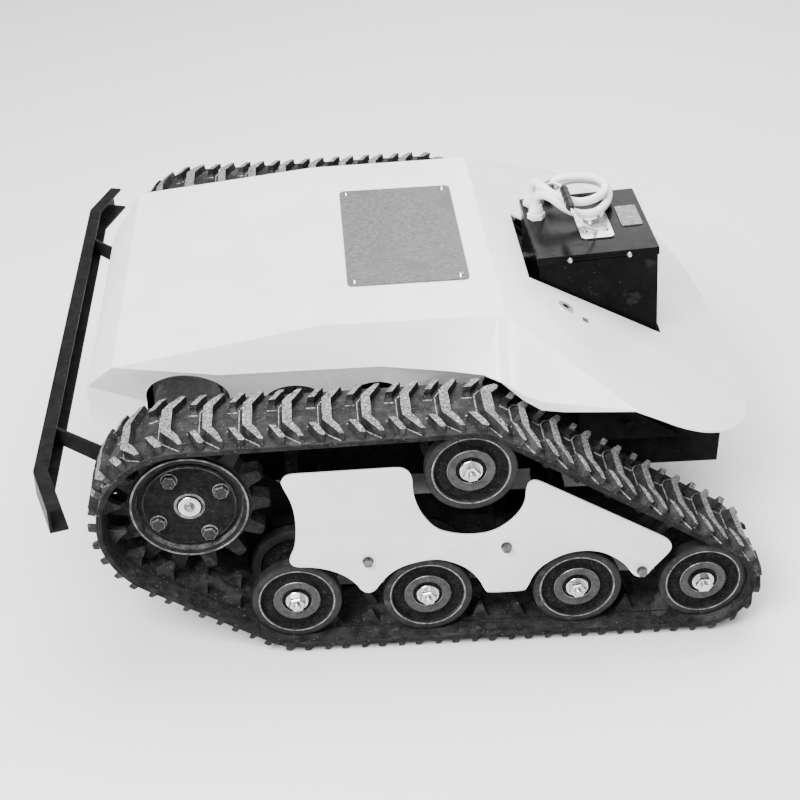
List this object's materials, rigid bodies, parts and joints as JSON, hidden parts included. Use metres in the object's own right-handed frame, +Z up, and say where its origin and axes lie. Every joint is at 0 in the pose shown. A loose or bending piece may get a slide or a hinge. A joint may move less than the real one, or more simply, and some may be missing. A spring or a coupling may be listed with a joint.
{
  "type": "tracked robot chassis",
  "caption": "Tracked robot chassis with rubber belts, sprocket drive, road wheels, white sheet-metal hull, rear bumper bar and a black control box.",
  "frame": {"origin": "on the ground under the middle of the machine", "axes": "+X forward, +Y to the machine's left, +Z up"},
  "size_m": [1.163, 1.11, 0.564],
  "materials": {
    "white_paint": "satin powder coat",
    "grey_plate": "dull, finely brushed",
    "black_paint": "satin powder coat",
    "gloss_black_paint": "gloss, smudged",
    "frame_paint": "satin, dusty",
    "motor_paint": "satin",
    "wheel_metal": "matte, sandy dust",
    "bare_steel": "brushed",
    "zinc_steel": "zinc plated",
    "hub_steel": "dusty, turned",
    "cast_iron": "rough cast, dusty",
    "aluminium": "machined",
    "track_rubber": "matte, worn light on the lug tops",
    "wheel_rubber": "matte, dusty",
    "black_plastic": "matte",
    "white_conduit": "satin corrugated",
    "battery_case": "textured",
    "display": "gloss grey window"
  },
  "bodies": {
    "chassis": {"hull_cover": "white_paint", "access_plate": "grey_plate", "cover_screws": "zinc_steel", "chassis_tub": "black_paint", "nose_brackets": "black_paint", "bumper_channel": "black_paint", "bumper_arms": "black_paint", "control_box": "gloss_black_paint", "control_box_lid": "gloss_black_paint", "display_window": "display", "connector_plate": "bare_steel", "cable_glands": "black_plastic", "key_switch_body": "bare_steel", "indicator_lamp": "display", "battery_pack": "battery_case", "motor_controller": "aluminium", "drive_motors": "motor_paint", "reduction_gearboxes": "aluminium", "side_cover_bolts": "zinc_steel", "wheel_axles": "bare_steel", "tension_rods": "bare_steel", "cable_conduit_1": "white_conduit", "cable_conduit_2": "white_conduit", "signal_wire": "white_conduit", "cable_sleeves": "black_plastic", "left_track_belt": "track_rubber", "left_side_frame": "frame_paint", "left_side_cover": "white_paint", "right_track_belt": "track_rubber", "right_side_frame": "frame_paint", "right_side_cover": "white_paint"},
    "left_sprocket": {"left_sprocket_ring": "cast_iron", "left_drive_hub": "hub_steel", "left_sprocket_bolts": "zinc_steel"},
    "left_tensioner": {"left_idler_carriage": "frame_paint"},
    "left_road_wheel_1": {"left_road_wheel_1_rim": "wheel_metal", "left_road_wheel_1_tyre": "wheel_rubber"},
    "left_road_wheel_2": {"left_road_wheel_2_rim": "wheel_metal", "left_road_wheel_2_tyre": "wheel_rubber"},
    "left_road_wheel_3": {"left_road_wheel_3_rim": "wheel_metal", "left_road_wheel_3_tyre": "wheel_rubber"},
    "left_front_idler": {"left_front_idler_rim": "wheel_metal", "left_front_idler_tyre": "wheel_rubber"},
    "left_top_roller": {"left_top_roller_rim": "wheel_metal", "left_top_roller_tyre": "wheel_rubber"},
    "right_sprocket": {"right_sprocket_ring": "cast_iron", "right_drive_hub": "hub_steel", "right_sprocket_bolts": "zinc_steel"},
    "right_tensioner": {"right_idler_carriage": "frame_paint"},
    "right_road_wheel_1": {"right_road_wheel_1_rim": "wheel_metal", "right_road_wheel_1_tyre": "wheel_rubber"},
    "right_road_wheel_2": {"right_road_wheel_2_rim": "wheel_metal", "right_road_wheel_2_tyre": "wheel_rubber"},
    "right_road_wheel_3": {"right_road_wheel_3_rim": "wheel_metal", "right_road_wheel_3_tyre": "wheel_rubber"},
    "right_front_idler": {"right_front_idler_rim": "wheel_metal", "right_front_idler_tyre": "wheel_rubber"},
    "right_top_roller": {"right_top_roller_rim": "wheel_metal", "right_top_roller_tyre": "wheel_rubber"},
    "key_barrel": {"key_switch_rotor": "zinc_steel"}
  },
  "joints": [
    {"name": "left_sprocket_spin", "type": "hinge", "parent": "chassis", "child": "left_sprocket", "pos_m": [-0.3535, 0.434, 0.263], "axis": [0, 1, 0], "continuous": true},
    {"name": "left_tensioner_slide", "type": "slide", "parent": "chassis", "child": "left_tensioner", "axis": [1, 0, 0], "range_m": [-0.02, 0]},
    {"name": "left_road_wheel_1_spin", "type": "hinge", "parent": "chassis", "child": "left_road_wheel_1", "pos_m": [-0.1955, 0.434, 0.0959], "axis": [0, 1, 0], "continuous": true},
    {"name": "left_road_wheel_2_spin", "type": "hinge", "parent": "chassis", "child": "left_road_wheel_2", "pos_m": [0.0125, 0.434, 0.0959], "axis": [0, 1, 0], "continuous": true},
    {"name": "left_road_wheel_3_spin", "type": "hinge", "parent": "chassis", "child": "left_road_wheel_3", "pos_m": [0.252, 0.434, 0.0959], "axis": [0, 1, 0], "continuous": true},
    {"name": "left_front_idler_spin", "type": "hinge", "parent": "left_tensioner", "child": "left_front_idler", "pos_m": [0.456, 0.434, 0.0959], "axis": [0, 1, 0], "continuous": true},
    {"name": "left_top_roller_spin", "type": "hinge", "parent": "chassis", "child": "left_top_roller", "pos_m": [0.0775, 0.434, 0.332], "axis": [0, 1, 0], "continuous": true},
    {"name": "right_sprocket_spin", "type": "hinge", "parent": "chassis", "child": "right_sprocket", "pos_m": [-0.3535, -0.434, 0.263], "axis": [0, 1, 0], "continuous": true},
    {"name": "right_tensioner_slide", "type": "slide", "parent": "chassis", "child": "right_tensioner", "axis": [1, 0, 0], "range_m": [-0.02, 0]},
    {"name": "right_road_wheel_1_spin", "type": "hinge", "parent": "chassis", "child": "right_road_wheel_1", "pos_m": [-0.1955, -0.434, 0.0959], "axis": [0, 1, 0], "continuous": true},
    {"name": "right_road_wheel_2_spin", "type": "hinge", "parent": "chassis", "child": "right_road_wheel_2", "pos_m": [0.0125, -0.434, 0.0959], "axis": [0, 1, 0], "continuous": true},
    {"name": "right_road_wheel_3_spin", "type": "hinge", "parent": "chassis", "child": "right_road_wheel_3", "pos_m": [0.252, -0.434, 0.0959], "axis": [0, 1, 0], "continuous": true},
    {"name": "right_front_idler_spin", "type": "hinge", "parent": "right_tensioner", "child": "right_front_idler", "pos_m": [0.456, -0.434, 0.0959], "axis": [0, 1, 0], "continuous": true},
    {"name": "right_top_roller_spin", "type": "hinge", "parent": "chassis", "child": "right_top_roller", "pos_m": [0.0775, -0.434, 0.332], "axis": [0, 1, 0], "continuous": true},
    {"name": "key_turn", "type": "hinge", "parent": "chassis", "child": "key_barrel", "pos_m": [0.2645, -0.182, 0.43684], "axis": [-0.4543, 0, -0.8908], "range_deg": [0, 90]}
  ]
}
